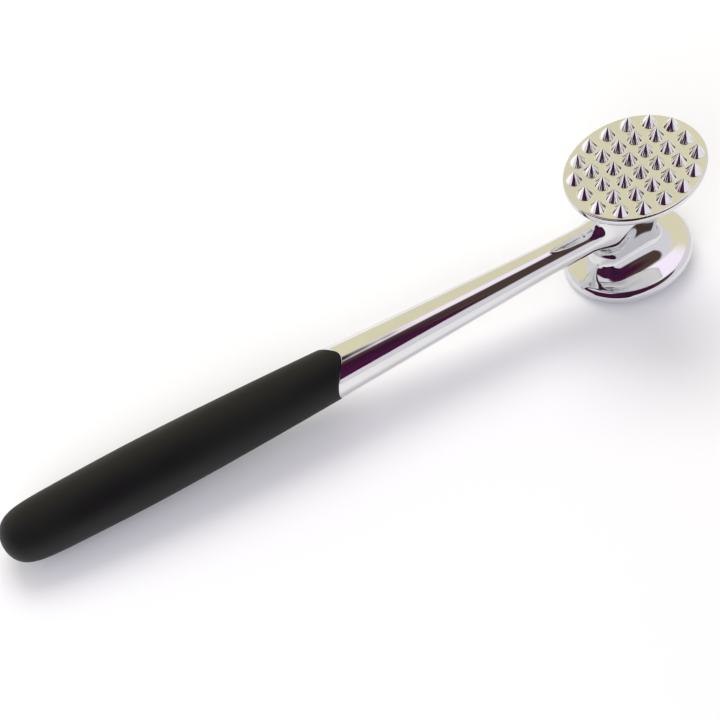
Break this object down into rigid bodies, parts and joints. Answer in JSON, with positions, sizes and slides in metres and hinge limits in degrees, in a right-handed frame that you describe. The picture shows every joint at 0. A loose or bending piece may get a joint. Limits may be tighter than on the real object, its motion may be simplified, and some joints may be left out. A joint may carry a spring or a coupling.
{
  "type": "meat mallet",
  "caption": "Hand mallet with a short metal head: a flat oval plate and a spiked oval plate on an oblong neck, a tapering metal shank and a rubber grip.",
  "frame": {"origin": "centre of the flat oval pounding face", "axes": "+Z from the flat face up through the head to the spiked face; the handle runs towards -X and +X points out of the far rim of the head; Y is across the handle"},
  "size_m": [0.225, 0.0344, 0.0488],
  "materials": {
    "bright_plating": "bright plated, mirror polished",
    "black_rubber": "smooth satin"
  },
  "bodies": {
    "root": {"cast_body": "bright_plating", "grip_sleeve": "black_rubber"}
  },
  "joints": []
}
